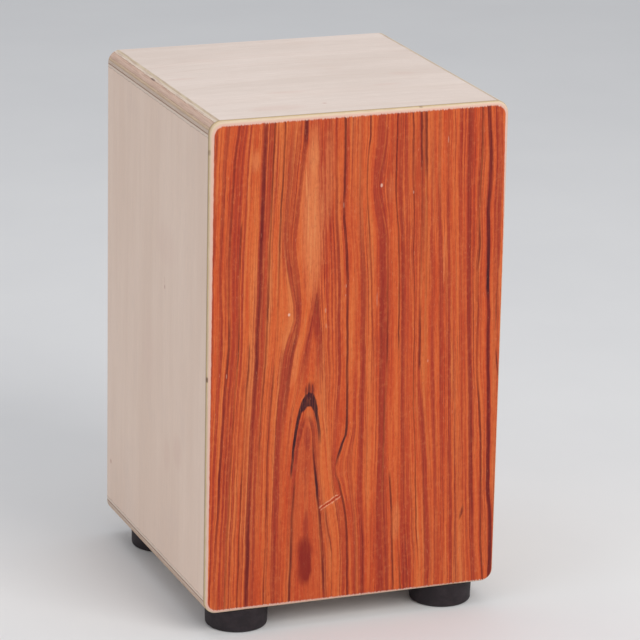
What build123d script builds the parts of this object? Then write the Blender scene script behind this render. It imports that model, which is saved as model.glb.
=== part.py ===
"""Cajon: a box drum that the player sits on.

Frame: +Z up, origin on the floor under the middle of the box. The playing face (tapa)
looks to -Y, and +X is on the right when the playing face is seen from the front.

Construction: four 12.5 mm plywood panels make an open tube. The top and bottom panels run
over the ends of the side panels and carry the 12 mm roundover of the long edges. A 5 mm back
panel with the sound hole sits in a rabbet. The playing face is a thin core with a decorative
veneer, glued over the front edges with a hand-sanded roundover. Glue blocks stiffen the long
corners. Inside, a beam with two fans of coil snare wire turns on two dowels, so that the wires
can be laid against the playing face or swung away from it. Four rubber feet are screwed on
from below.
"""
from build123d import *
import os

os.makedirs("parts", exist_ok=True)

# ---------------------------------------------------------------- driving dimensions (mm)
W = 295.0            # width of the box, X
D_ALL = 301.0        # depth of the whole drum, playing face included, Y
H_ALL = 500.0        # height of the whole drum, feet included, Z
FOOT_H = 23.0        # rubber foot height
T = 12.5             # body panel thickness
R_EDGE = 12.0        # roundover of the four long edges
T_CORE = 3.0         # playing face core
T_VENEER = 0.6       # playing face veneer
R_FACE = 3.2         # roundover of the playing face's front edge
T_BACK = 5.0         # back panel
RABBET = 6.0         # how far the back panel reaches into the body panels
GROOVE = 0.4         # small arris chamfer along every glue line
REAR_ARRIS = 0.8     # arris of the rear edges
R_HOLE = 55.0        # sound hole radius
Z_HOLE = 322.0       # sound hole centre height
HOLE_ARRIS = 0.8     # outside edge of the sound hole

CLEAT = 20.0         # leg of a corner glue block
CLEAT_FLAT = 4.0     # blunt tips of the glue block
CLEAT_SETBACK = 8.0  # glue blocks stop short of the playing face

Y_AXIS = -128.5      # snare beam axis
Z_AXIS = 300.0
BEAM = 20.0          # beam section
BEAM_R = 1.5         # beam edge radius
BLOCK_X, BLOCK_YZ = 14.0, 30.0   # end block: along X, and its square face
BLOCK_CHAMFER = 3.0
WASHER_T, WASHER_R = 1.5, 10.5   # felt washer
DOWEL_R = 4.0
DOWEL_BORE_R = 4.06  # running fit in the end block
DOWEL_GLUE_R = 4.02  # glued fit in the beam
DOWEL_IN_BEAM = 18.0
DOWEL_IN_BLOCK = 11.0
BORE_DEPTH = 12.0
BEAM_GAP = 0.2       # beam end to washer
REST_LEAN = 1.65     # degrees: the beam's turn towards the playing face with the snare on

STRANDS = 10
STRAND_R = 1.1
STRAND_PITCH = 3.2
STRAND_TOP = 164.0   # free end above the beam axis, along the strand
FAN_X = 60.0         # middle of a fan on the beam
FAN_ANGLE = 8.0      # outward lean of a fan, degrees
CLIP_L, CLIP_HALF_H, CLIP_T = 46.0, 6.0, 1.0
LIP_L, LIP_H, LIP_T = 33.0, 7.0, 0.8
CLIP_GAP = 2.4       # clear gap for the strand ends
CLIP_SCREW_X = 19.6
CLIP_SCREW_R, CLIP_SCREW_HEAD_R, CLIP_SCREW_HEAD_H, CLIP_SCREW_L = 1.4, 2.9, 1.9, 11.0

FOOT_X = 105.0       # the feet sit close behind the playing face and further in from the back
FOOT_Y_FRONT, FOOT_Y_REAR = -120.0, 104.0
FOOT_R_TOP, FOOT_R_BOTTOM = 30.3, 29.6
FOOT_ROUND_BOTTOM, FOOT_ROUND_TOP = 2.5, 0.8
FOOT_CBORE_R, FOOT_CBORE_D = 11.0, 14.0
SCREW_R, SCREW_HEAD_R, SCREW_HEAD_H = 2.4, 4.8, 3.0
SCREW_IN_PANEL = 10.5
WASHER2_R, WASHER2_T = 9.0, 1.5

# ---------------------------------------------------------------- derived planes
Y_FRONT = -D_ALL / 2                       # front of the playing face
Y_BODY = Y_FRONT + T_CORE + T_VENEER       # front edges of the body panels
Y_REAR = D_ALL / 2
D_BODY = Y_REAR - Y_BODY
Z0, Z1 = FOOT_H, H_ALL
H = Z1 - Z0
XI = W / 2 - T                             # inside face of a side panel
ZI0, ZI1 = Z0 + T, Z1 - T                  # inside faces of bottom and top
Y_BACK_IN = Y_REAR - T_BACK


def at(x, y, z):
    return Location((x, y, z))


def box(x0, x1, y0, y1, z0, z1):
    return Pos((x0 + x1) / 2, (y0 + y1) / 2, (z0 + z1) / 2) * Box(x1 - x0, y1 - y0, z1 - z0)


def cyl_x(r, x0, x1, y, z):
    return Pos((x0 + x1) / 2, y, z) * Rot(0, 90, 0) * Cylinder(r, x1 - x0)


def cyl_y(r, y0, y1, x, z):
    return Pos(x, (y0 + y1) / 2, z) * Rot(90, 0, 0) * Cylinder(r, y1 - y0)


def cyl_z(r, z0, z1, x, y):
    return Pos(x, y, (z0 + z1) / 2) * Cylinder(r, z1 - z0)


def save(shape, name, colour=None):
    shape.label = name
    export_step(shape, f"parts/{name}.step")


def group(shapes):
    return Compound(children=list(shapes))


# ---------------------------------------------------------------- body tube, then four panels
back_blank = box(-XI - RABBET, XI + RABBET, Y_BACK_IN, Y_REAR, ZI0 - RABBET, ZI1 + RABBET)

outer = box(-W / 2, W / 2, Y_BODY, Y_REAR, Z0, Z1)
outer = fillet(outer.edges().filter_by(Axis.Y), R_EDGE)
front_loop = outer.faces().sort_by(Axis.Y)[0].edges()
outer = chamfer(front_loop, GROOVE)
rear_loop = outer.faces().sort_by(Axis.Y)[-1].edges()
outer = fillet(rear_loop, REAR_ARRIS)
tube = outer - box(-XI, XI, Y_BODY - 1, Y_REAR + 1, ZI0, ZI1)
tube = tube - back_blank

BIG = 400
top_panel = tube & box(-BIG, BIG, -BIG, BIG, ZI1, BIG * 2)
bottom_panel = tube & box(-BIG, BIG, -BIG, BIG, -BIG, ZI0)
left_panel = tube & box(-BIG, -XI + 0.0, -BIG, BIG, ZI0, ZI1)
right_panel = tube & box(XI, BIG, -BIG, BIG, ZI0, ZI1)


def butt_edges(part, z, outside_x):
    """the outside edge of a butt joint: parallel to Y, on plane z and face x"""
    return [
        e for e in part.edges()
        if abs(e.center().Z - z) < 1e-3 and abs(abs(e.center().X) - outside_x) < 1e-3
        and abs(e.bounding_box().size.Y - e.length) < 1e-3 and e.length > 50
    ]


top_panel = chamfer(butt_edges(top_panel, ZI1, W / 2), GROOVE)
bottom_panel = chamfer(butt_edges(bottom_panel, ZI0, W / 2), GROOVE)
left_panel = chamfer(butt_edges(left_panel, ZI1, W / 2) + butt_edges(left_panel, ZI0, W / 2), GROOVE)
right_panel = chamfer(butt_edges(right_panel, ZI1, W / 2) + butt_edges(right_panel, ZI0, W / 2), GROOVE)

# screw pilots for the feet, in the bottom panel
foot_places = {
    "foot_front_left": (-FOOT_X, FOOT_Y_FRONT),
    "foot_front_right": (FOOT_X, FOOT_Y_FRONT),
    "foot_rear_left": (-FOOT_X, FOOT_Y_REAR),
    "foot_rear_right": (FOOT_X, FOOT_Y_REAR),
}
for x, y in foot_places.values():
    bottom_panel = bottom_panel - cyl_z(SCREW_R, Z0 - 1, Z0 + SCREW_IN_PANEL, x, y)

save(top_panel, "top_panel")
save(bottom_panel, "bottom_panel")
save(left_panel, "left_side_panel")
save(right_panel, "right_side_panel")

# ---------------------------------------------------------------- back panel
back = back_blank - cyl_y(R_HOLE, Y_BACK_IN - 1, Y_REAR + 1, 0, Z_HOLE)
rim = [e for e in back.edges().filter_by(GeomType.CIRCLE) if abs(e.center().Y - Y_REAR) < 1e-3]
back = fillet(rim, HOLE_ARRIS)
save(back, "back_panel")

# ---------------------------------------------------------------- playing face
plate = box(-W / 2, W / 2, Y_FRONT, Y_BODY, Z0, Z1)
plate = fillet(plate.edges().filter_by(Axis.Y), R_EDGE)
plate = fillet(plate.faces().sort_by(Axis.Y)[0].edges(), R_FACE)
plate = chamfer(plate.faces().sort_by(Axis.Y)[-1].edges(), GROOVE * 0.6)
y_split = Y_FRONT + T_VENEER
core = plate & box(-BIG, BIG, y_split, BIG, -BIG, BIG * 2)
veneer = plate & box(-BIG, BIG, -BIG, y_split, -BIG, BIG * 2)
save(core, "tapa_core")
save(veneer, "tapa_veneer")

# ---------------------------------------------------------------- corner glue blocks
for name, sx, sz in (
    ("corner_block_top_left", -1, 1),
    ("corner_block_top_right", 1, 1),
    ("corner_block_bottom_left", -1, -1),
    ("corner_block_bottom_right", 1, -1),
):
    zc = ZI1 if sz > 0 else ZI0
    pts = [(0, 0), (CLEAT, 0), (CLEAT, CLEAT_FLAT), (CLEAT_FLAT, CLEAT), (0, CLEAT)]
    pts = [(sx * (XI - a), zc - sz * b) for a, b in pts]
    profile = Polyline([(x, Y_BODY + CLEAT_SETBACK, z) for x, z in pts], close=True)
    face = make_face(profile)
    length = Y_BACK_IN - Y_BODY - CLEAT_SETBACK
    block = extrude(face, amount=length, dir=(0, 1, 0))
    save(block, name)

# ---------------------------------------------------------------- snare: fixed parts
for side, s in (("left", -1), ("right", 1)):
    x_out, x_in = s * XI, s * (XI - BLOCK_X)
    lo, hi = min(x_out, x_in), max(x_out, x_in)
    h = BLOCK_YZ / 2
    block = box(lo, hi, Y_AXIS - h, Y_AXIS + h, Z_AXIS - h, Z_AXIS + h)
    inner = [f for f in block.faces() if abs(f.center().X - x_in) < 1e-3][0]
    block = chamfer(inner.edges(), BLOCK_CHAMFER)
    b0, b1 = sorted((x_in - s * 1.0, x_in + s * BORE_DEPTH))
    block = block - cyl_x(DOWEL_BORE_R, b0, b1, Y_AXIS, Z_AXIS)
    save(block, f"snare_block_{side}")
    w0, w1 = sorted((x_in, x_in - s * WASHER_T))
    washer = cyl_x(WASHER_R, w0, w1, Y_AXIS, Z_AXIS) - cyl_x(DOWEL_R + 0.4, w0 - 1, w1 + 1, Y_AXIS, Z_AXIS)
    save(washer, f"felt_washer_{side}")

# ---------------------------------------------------------------- snare: the part that turns
# Built square to the axes round the beam axis, then turned to its rest lean.
turn = Pos(0, Y_AXIS, Z_AXIS) * Rot(REST_LEAN, 0, 0)
beam_half = XI - BLOCK_X - WASHER_T - BEAM_GAP

beam = Box(2 * beam_half, BEAM, BEAM)
beam = fillet(beam.edges().filter_by(Axis.X), BEAM_R)


def local_cyl_x(r, x0, x1):
    a, b = sorted((x0, x1))
    return Pos((a + b) / 2, 0, 0) * Rot(0, 90, 0) * Cylinder(r, b - a)


for s in (-1, 1):
    beam = beam - local_cyl_x(DOWEL_GLUE_R, s * (beam_half - DOWEL_IN_BEAM - 0.5), s * (beam_half + 1))

clips, fans, screws = {}, {}, []
for side, s in (("left", -1), ("right", 1)):
    # fan frame: on the beam's front face, Y towards the playing face is negative
    fan = Pos(s * FAN_X, -BEAM / 2, 0) * Rot(0, s * FAN_ANGLE, 0)
    plate_ = Pos(0, -CLIP_T / 2, 0) * Box(CLIP_L, CLIP_T, 2 * CLIP_HALF_H)
    plate_ = fillet(plate_.edges().filter_by(Axis.Y), 2.0)
    fold_y = CLIP_T + CLIP_GAP + LIP_T
    fold = Pos(0, -fold_y / 2, -CLIP_HALF_H + LIP_T / 2) * Box(LIP_L, fold_y, LIP_T)
    lip = Pos(0, -(CLIP_T + CLIP_GAP + LIP_T / 2), -CLIP_HALF_H + LIP_H / 2) * Box(LIP_L, LIP_T, LIP_H)
    clip = plate_ + fold + lip
    for sx in (-1, 1):
        hole = Pos(sx * CLIP_SCREW_X, -CLIP_T / 2, 0) * Rot(90, 0, 0) * Cylinder(CLIP_SCREW_R + 0.1, CLIP_T + 1)
        clip = clip - hole
        pilot = Pos(sx * CLIP_SCREW_X, (CLIP_SCREW_L - CLIP_T) / 2 + 0.25, 0) * Rot(90, 0, 0) * Cylinder(
            CLIP_SCREW_R, CLIP_SCREW_L - CLIP_T + 0.5)
        beam = beam - fan * pilot
        shank = Pos(sx * CLIP_SCREW_X, (CLIP_SCREW_L - CLIP_T) / 2 - CLIP_T / 2, 0) * Rot(90, 0, 0) * Cylinder(
            CLIP_SCREW_R, CLIP_SCREW_L)
        head = Pos(sx * CLIP_SCREW_X, -CLIP_T - CLIP_SCREW_HEAD_H / 2, 0) * Rot(90, 0, 0) * Cylinder(
            CLIP_SCREW_HEAD_R, CLIP_SCREW_HEAD_H)
        head_rim = [e for e in head.edges().filter_by(GeomType.CIRCLE)
                    if abs(e.center().Y + CLIP_T + CLIP_SCREW_HEAD_H) < 1e-3]
        head = fillet(head_rim, 1.2)
        slot = (Pos(sx * CLIP_SCREW_X, -CLIP_T - CLIP_SCREW_HEAD_H, 0) * Box(3.2, 1.8, 0.7)
                + Pos(sx * CLIP_SCREW_X, -CLIP_T - CLIP_SCREW_HEAD_H, 0) * Box(0.7, 1.8, 3.2))
        screws.append(turn * fan * ((shank + head) - slot))
    clips[side] = turn * fan * clip
    rods = []
    z_low = -CLIP_HALF_H + LIP_T + 0.1
    for i in range(STRANDS):
        x = (i - (STRANDS - 1) / 2) * STRAND_PITCH
        y = -(CLIP_T + CLIP_GAP / 2)
        rods.append(turn * fan * (Pos(x, y, (z_low + STRAND_TOP) / 2) * Cylinder(STRAND_R, STRAND_TOP - z_low)))
    fans[side] = rods

save(turn * beam, "snare_beam")
for side in ("left", "right"):
    save(clips[side], f"snare_clip_{side}")
    save(group(fans[side]), f"snare_strands_{side}")
save(group(screws), "clip_screws")
for side, s in (("left", -1), ("right", 1)):
    dowel = local_cyl_x(DOWEL_R, s * (beam_half - DOWEL_IN_BEAM), s * (XI - BLOCK_X + DOWEL_IN_BLOCK))
    ends = [e for e in dowel.edges().filter_by(GeomType.CIRCLE)]
    dowel = chamfer(ends, 0.6)
    save(turn * dowel, f"pivot_dowel_{side}")

# ---------------------------------------------------------------- feet
washers, foot_screws = [], []
for name, (x, y) in foot_places.items():
    foot = Pos(x, y, FOOT_H / 2) * Rot(180, 0, 0) * Cone(FOOT_R_TOP, FOOT_R_BOTTOM, FOOT_H)
    low = [e for e in foot.edges().filter_by(GeomType.CIRCLE) if abs(e.center().Z) < 1e-3]
    foot = fillet(low, FOOT_ROUND_BOTTOM)
    high = [e for e in foot.edges().filter_by(GeomType.CIRCLE) if abs(e.center().Z - FOOT_H) < 1e-3]
    foot = fillet(high, FOOT_ROUND_TOP)
    foot = foot - cyl_z(FOOT_CBORE_R, -1, FOOT_CBORE_D, x, y)
    mouth = [e for e in foot.edges().filter_by(GeomType.CIRCLE)
             if abs(e.center().Z) < 1e-3 and abs(e.radius - FOOT_CBORE_R) < 1e-3]
    foot = fillet(mouth, 1.0)
    foot = foot - cyl_z(SCREW_R, FOOT_CBORE_D - 1, FOOT_H + 1, x, y)
    save(foot, name)
    washers.append(cyl_z(WASHER2_R, FOOT_CBORE_D - WASHER2_T, FOOT_CBORE_D, x, y)
                   - cyl_z(SCREW_R + 0.15, 0, FOOT_H, x, y))
    head_top = FOOT_CBORE_D - WASHER2_T
    head = cyl_z(SCREW_HEAD_R, head_top - SCREW_HEAD_H, head_top, x, y)
    rim = [e for e in head.edges().filter_by(GeomType.CIRCLE)
           if abs(e.center().Z - (head_top - SCREW_HEAD_H)) < 1e-3]
    head = fillet(rim, 1.8)
    shank = cyl_z(SCREW_R, head_top - 0.5, Z0 + SCREW_IN_PANEL, x, y)
    cross = (Pos(x, y, head_top - SCREW_HEAD_H) * Box(5.0, 1.1, 3.0)
             + Pos(x, y, head_top - SCREW_HEAD_H) * Box(1.1, 5.0, 3.0))
    foot_screws.append((head + shank) - cross)
save(group(washers), "foot_washers")
save(group(foot_screws), "foot_screws")

print("body", W, D_BODY, H, "inside", 2 * XI, "beam half", beam_half)
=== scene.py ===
import bpy
import math
import numpy as np
from mathutils import Matrix, Vector


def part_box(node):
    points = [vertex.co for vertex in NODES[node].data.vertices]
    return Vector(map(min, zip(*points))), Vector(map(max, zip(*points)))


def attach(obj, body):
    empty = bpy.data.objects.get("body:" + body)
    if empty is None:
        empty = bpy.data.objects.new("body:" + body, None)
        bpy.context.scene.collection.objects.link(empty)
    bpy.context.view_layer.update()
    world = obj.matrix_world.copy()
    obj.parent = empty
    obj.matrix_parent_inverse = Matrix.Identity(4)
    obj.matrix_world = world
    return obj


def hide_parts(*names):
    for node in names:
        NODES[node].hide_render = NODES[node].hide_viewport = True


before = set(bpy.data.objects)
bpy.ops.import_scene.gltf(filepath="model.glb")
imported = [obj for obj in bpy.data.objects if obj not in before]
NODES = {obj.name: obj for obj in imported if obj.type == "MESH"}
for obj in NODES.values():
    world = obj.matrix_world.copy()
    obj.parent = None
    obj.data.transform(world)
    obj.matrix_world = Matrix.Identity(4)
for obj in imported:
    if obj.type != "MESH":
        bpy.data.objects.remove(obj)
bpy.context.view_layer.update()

# Main sizes, read from the frame, in millimetres.
lo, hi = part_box("tapa_core")
HALF_W = hi.x * 1000.0
Z_LOW, Z_TOP = lo.z * 1000.0, hi.z * 1000.0
Y_JOINT = hi.y * 1000.0
Y_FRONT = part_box("tapa_veneer")[0].y * 1000.0
Y_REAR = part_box("back_panel")[1].y * 1000.0
PLY = 12.5
Z_JOINT_TOP, Z_JOINT_LOW = Z_TOP - PLY, Z_LOW + PLY


# ------------------------------------------------------------------ colour and node helpers
def lin(r, g, b):
    """A display colour, 0 to 255, as linear RGBA."""
    def f(c):
        c /= 255.0
        return c / 12.92 if c <= 0.04045 else ((c + 0.055) / 1.055) ** 2.4
    return (f(r), f(g), f(b), 1.0)


class V:
    """A socket with arithmetic."""
    def __init__(self, g, s):
        self.g, self.s = g, s
    def __add__(self, o): return self.g.m("ADD", self, o)
    __radd__ = __add__
    def __sub__(self, o): return self.g.m("SUBTRACT", self, o)
    def __rsub__(self, o): return self.g.m("SUBTRACT", o, self)
    def __mul__(self, o): return self.g.m("MULTIPLY", self, o)
    __rmul__ = __mul__
    def __truediv__(self, o): return self.g.m("DIVIDE", self, o)
    def abs(self): return self.g.m("ABSOLUTE", self)
    def max(self, o): return self.g.m("MAXIMUM", self, o)
    def min(self, o): return self.g.m("MINIMUM", self, o)


class Graph:
    """One material's node tree, with object coordinates in millimetres, or a bare group."""
    def __init__(self, name, group=False):
        if group:
            self.t = bpy.data.node_groups.new(name, "ShaderNodeTree")
            return
        self.mat = bpy.data.materials.new(name)
        self.mat.use_nodes = True
        self.t = self.mat.node_tree
        self.t.nodes.clear()
        self.out = self.t.nodes.new("ShaderNodeOutputMaterial")
        self.bsdf = self.t.nodes.new("ShaderNodeBsdfPrincipled")
        self.t.links.new(self.bsdf.outputs[0], self.out.inputs[0])
        co = self.t.nodes.new("ShaderNodeTexCoord")
        sep = self.t.nodes.new("ShaderNodeSeparateXYZ")
        self.t.links.new(co.outputs["Object"], sep.inputs[0])
        self.x, self.y, self.z = (V(self, sep.outputs[i]) * 1000.0 for i in range(3))

    def put(self, socket, value):
        if isinstance(value, V):
            self.t.links.new(value.s, socket)
        else:
            socket.default_value = value

    def m(self, op, a, b=0.0):
        n = self.t.nodes.new("ShaderNodeMath")
        n.operation = op
        self.put(n.inputs[0], a)
        self.put(n.inputs[1], b)
        return V(self, n.outputs[0])

    def m3(self, op, a, b, c):
        n = self.t.nodes.new("ShaderNodeMath")
        n.operation = op
        for i, q in enumerate((a, b, c)):
            self.put(n.inputs[i], q)
        return V(self, n.outputs[0])

    def ramp(self, v, a, b, to0=0.0, to1=1.0):
        """v from a to b becomes to0 to to1, smoothly, held outside."""
        n = self.t.nodes.new("ShaderNodeMapRange")
        n.interpolation_type = "SMOOTHSTEP"
        for i, q in enumerate((v, a, b, to0, to1)):
            self.put(n.inputs[i], q)
        return V(self, n.outputs[0])

    def curve(self, v, pts):
        """A smooth function through pts [(input, output)], in real units under 100."""
        pts = sorted(pts)
        n = self.t.nodes.new("ShaderNodeFloatCurve")
        mp = n.mapping
        mp.clip_min_x, mp.clip_max_x, mp.clip_min_y, mp.clip_max_y = -100.0, 100.0, -100.0, 100.0
        c = mp.curves[0]
        while len(c.points) < len(pts):
            c.points.new(0.5, 0.5)
        for q, (a, b) in zip(c.points, pts):
            q.location = (a, b)
            q.handle_type = "AUTO_CLAMPED"
        mp.update()
        self.put(n.inputs["Value"], v)
        return V(self, n.outputs[0])

    def vec(self, a, b, c=0.0):
        n = self.t.nodes.new("ShaderNodeCombineXYZ")
        for i, q in enumerate((a, b, c)):
            self.put(n.inputs[i], q)
        return V(self, n.outputs[0])

    def noise(self, a, b, c=0.0, detail=2.0, rough=0.5, distort=0.0):
        n = self.t.nodes.new("ShaderNodeTexNoise")
        n.noise_dimensions = "3D"
        self.put(n.inputs["Vector"], self.vec(a, b, c))
        n.inputs["Scale"].default_value = 1.0
        n.inputs["Detail"].default_value = detail
        n.inputs["Roughness"].default_value = rough
        n.inputs["Distortion"].default_value = distort
        return V(self, n.outputs[0])

    def mix(self, f, a, b):
        n = self.t.nodes.new("ShaderNodeMix")
        n.data_type, n.clamp_factor = "RGBA", True
        self.put(n.inputs[0], f)
        self.put(n.inputs[6], a)
        self.put(n.inputs[7], b)
        return V(self, n.outputs[2])

    def colours(self, f, stops, interpolation="LINEAR"):
        n = self.t.nodes.new("ShaderNodeValToRGB")
        r = n.color_ramp
        r.interpolation = interpolation
        while len(r.elements) < len(stops):
            r.elements.new(0.5)
        for e, (p, c) in zip(r.elements, stops):
            e.position = p
        for e, (p, c) in zip(r.elements, stops):
            e.color = c
        self.put(n.inputs[0], f)
        return V(self, n.outputs[0])

    def finish(self, colour, rough, height=None, strength=0.2, distance=0.0002, spec=0.3, metal=0.0):
        b = self.bsdf
        self.put(b.inputs["Base Color"], colour)
        self.put(b.inputs["Roughness"], rough)
        b.inputs["Metallic"].default_value = metal
        b.inputs["Specular IOR Level"].default_value = spec
        if height is not None:
            n = self.t.nodes.new("ShaderNodeBump")
            n.inputs["Strength"].default_value = strength
            n.inputs["Distance"].default_value = distance
            self.put(n.inputs["Height"], height)
            self.t.links.new(n.outputs[0], b.inputs["Normal"])
        return self.mat


# ------------------------------------------------------------------ the figure of the veneer
# Every entry is one grain line of the face: its x at a few heights z, in millimetres.
ZS, ZE = 20.0, 502.0
G_LINES = {
 "g0": [(500, -152), (20, -152)],
 "g1": [(500, -117.5), (460, -123), (420, -125), (380, -127), (340, -127.5), (300, -126), (270, -127.5), (240, -130), (200, -132), (160, -134), (120, -135.5), (80, -137.5), (20, -139)],
 "g2": [(500, -93), (450, -94.5), (410, -95.5), (380, -96.5), (350, -97), (300, -98.5), (250, -99.7), (230, -101), (200, -102.5), (160, -104), (120, -105), (80, -105.5), (20, -106.3)],
 "g3": [(500, -74.3), (470, -75), (440, -76), (420, -77), (400, -77.6), (370, -78.2), (330, -78.6), (310, -78.8), (290, -79.5), (250, -82.5), (230, -84), (200, -86), (150, -87.2), (100, -87.7), (60, -88.5), (20, -89)],
 "g4": [(500, -65), (460, -68.5), (420, -70.5), (390, -71.8), (375, -71.5), (360, -69.5), (340, -66), (325, -63), (315, -61.7), (305, -61.7), (298, -63.5), (290, -66.3), (280, -69), (270, -71), (250, -73.3), (230, -75), (200, -77), (150, -79), (100, -80), (20, -80)],
 "g5": [(500, -54), (470, -55), (450, -57.2), (430, -59.2), (410, -61.2), (390, -63.3), (375, -63.7), (360, -62.5), (345, -60), (330, -58.3), (310, -57.7), (300, -58.2), (290, -59.5), (280, -62), (270, -64), (255, -66.5), (240, -68), (220, -70), (200, -71.5), (160, -73), (100, -74), (20, -74.5)],
 "mid": [(500, -46), (420, -44), (360, -41.5), (331, -40.3), (300, -41.5), (270, -43.5), (235, -46), (208, -47.5), (20, -47.5)],
 "g13": [(500, -24.3), (460, -24), (420, -23), (400, -22.5), (380, -21), (340, -18.5), (300, -18), (270, -17), (255, -16.2), (235, -17), (215, -18), (190, -19.5), (170, -20.3), (152, -19.6), (140, -17.6), (130, -14.8), (110, -10.9), (90, -9), (60, -8), (20, -7.5)],
 "g14": [(500, -16), (480, -15.5), (420, -15.5), (400, -15), (380, -13), (360, -11.5), (340, -10.5), (320, -10), (290, -9.5), (260, -9), (230, -8.4), (200, -8.1), (190, -8.4), (185, -9.4), (179, -12.6), (173, -14.0), (166, -16.6), (159, -17.6), (152, -18.2), (147, -17.2), (142, -14.8), (130, -12), (120, -9.5), (110, -8), (100, -6.5), (90, -5.7), (70, -4.8), (50, -4), (20, -3.1)],
 "g15": [(500, 0), (450, 0.3), (400, 1.2), (370, 3), (340, 5), (320, 5.7), (280, 6.2), (250, 6.6), (220, 6.2), (180, 6.8), (120, 7.3), (100, 8.8), (85, 10), (50, 11), (20, 11.7)],
 "g16": [(500, 9), (480, 9.3), (462, 8), (445, 7), (430, 7), (415, 7.6), (400, 8.6), (380, 10.6), (350, 12.6), (320, 14.2), (290, 15.5), (260, 16.7), (220, 17.5), (150, 18), (80, 18.5), (20, 19)],
 "g17": [(500, 15.5), (470, 15), (450, 13.8), (435, 13), (420, 13.3), (405, 15), (390, 17.5), (375, 19), (350, 20), (320, 21), (280, 22), (240, 23), (180, 23.5), (120, 23), (80, 24.5), (50, 25.5), (20, 26)],
 "g18": [(500, 25.5), (480, 25), (465, 24), (450, 21.5), (440, 19.3), (430, 18.3), (422, 18.8), (412, 21), (400, 24), (385, 27), (370, 28.5), (350, 29.3), (320, 30), (260, 31), (200, 29.5), (150, 29.5), (100, 30), (60, 33), (20, 34.5)],
 "g18b": [(500, 31), (430, 31), (350, 33.5), (260, 34.5), (200, 34.8), (142, 36.8), (130, 38), (115, 39), (100, 39.8), (80, 41), (50, 42), (20, 43.5)],
 "g19": [(500, 36), (440, 35.6), (420, 36), (400, 37.5), (380, 39.4), (360, 40.5), (340, 41.5), (300, 42.1), (270, 42.7), (240, 43.3), (180, 45), (100, 47), (60, 48.8), (20, 50.7)],
 "g20": [(500, 51), (450, 52.5), (400, 54.5), (350, 55.6), (320, 57.5), (280, 58.2), (250, 58.6), (220, 59.2), (200, 60), (160, 62.5), (120, 64), (90, 65.3), (60, 68), (20, 69.5)],
 "g21": [(500, 59), (460, 60.5), (430, 62), (400, 62.6), (350, 63.1), (310, 63.4), (270, 64), (246, 64.4), (200, 68), (150, 72), (100, 75), (60, 77), (20, 78)],
 "g22": [(500, 78), (450, 78.5), (400, 80.5), (340, 84), (300, 85), (270, 86), (200, 88), (100, 92), (20, 94)],
 "g23": [(500, 108.5), (450, 109), (400, 110), (350, 111.5), (300, 113), (270, 114.5), (240, 116), (200, 118), (150, 120), (100, 122), (50, 125), (20, 127)],
 "g24": [(500, 121), (450, 121.5), (420, 121), (400, 120.6), (375, 121.5), (360, 122), (340, 120.6), (300, 121.5), (260, 122.7), (230, 124), (210, 126.5), (180, 129), (120, 131.5), (60, 133.5), (20, 137)],
 "g25": [(500, 126.5), (480, 128.5), (460, 130), (440, 131), (420, 131), (400, 129.7), (380, 130.5), (340, 131.5), (318, 132), (300, 133.2), (250, 134.5), (220, 136), (180, 137.5), (130, 138.5), (110, 139.5), (90, 142), (50, 143), (20, 143.3)],
 "g26": [(500, 152), (20, 152)],
}
# Nested arches: half widths either side of the middle line, nothing above their tips.
ARCH = {
 "a1": ([(502, 0), (332, 0), (326, 1.2), (320, 1.9), (310, 2.8), (300, 4.5), (290, 5.8), (280, 6.9), (270, 8.0), (260, 9.5), (250, 10.6), (230, 12.4), (200, 15.4), (180, 17.5), (150, 19.5), (100, 21.5), (20, 22.5)],
        [(502, 0), (332, 0), (326, 0.8), (320, 1.3), (310, 2.9), (300, 4.2), (290, 5.6), (280, 6.7), (260, 9.2), (240, 11.6), (220, 13.8), (200, 16), (180, 18.5), (160, 20.5), (140, 22.5), (120, 25), (110, 27), (90, 31), (60, 32.5), (20, 33)]),
 "a2": ([(502, 0), (233, 0), (232.4, 3.8), (230, 5.6), (226, 7.0), (221, 8.2), (215, 9.3), (205, 11.3), (200, 12.2), (190, 13.8), (180, 14.8), (170, 15.4), (160, 16), (154, 16.5), (120, 18), (60, 19.5), (20, 20.5)],
        [(502, 0), (233, 0), (232.4, 3.8), (230, 5.6), (226, 7.2), (221, 8.7), (215, 9.9), (208, 11.3), (200, 12.5), (190, 13.5), (180, 14.2), (150, 15.5), (130, 17.5), (110, 20.2), (100, 21.5), (90, 23.8), (80, 25.8), (60, 27.2), (20, 27.5)]),
 "a3": ([(502, 0), (210, 0), (207, 1.3), (204, 2.2), (200, 3.5), (190, 6.5), (180, 8.5), (170, 9.5), (150, 11.2), (140, 12), (130, 13), (110, 14), (90, 14.1), (70, 14.5), (50, 15), (20, 15.7)],
        [(502, 0), (210, 0), (207, 1.3), (204, 2.2), (200, 3.5), (190, 4.7), (180, 5.5), (170, 6.5), (160, 7.8), (150, 9.2), (140, 10.3), (130, 11.3), (120, 12.8), (110, 13.9), (100, 14.5), (80, 16.5), (60, 18), (40, 19), (20, 20)]),
}
# The grain coordinate's value on each line. It is mirrored about the arches' middle.
ORDER = [("g0", -104.5), ("g1", -89.5), ("g2", -57.5), ("g3", -40), ("g4", -32.5), ("g5", -26.5), ("a1L", -21.5), ("a2L", -18.5), ("a3L", -14),
         ("mid", 0), ("a3R", 14), ("a2R", 18.5), ("a1R", 21.5), ("g13", 36), ("g14", 41), ("g15", 56), ("g16", 65), ("g17", 71.5), ("g18", 78.5),
         ("g18b", 87), ("g19", 95), ("g20", 112), ("g21", 123), ("g22", 140), ("g23", 170), ("g24", 179.5), ("g25", 189), ("g26", 200)]
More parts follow.
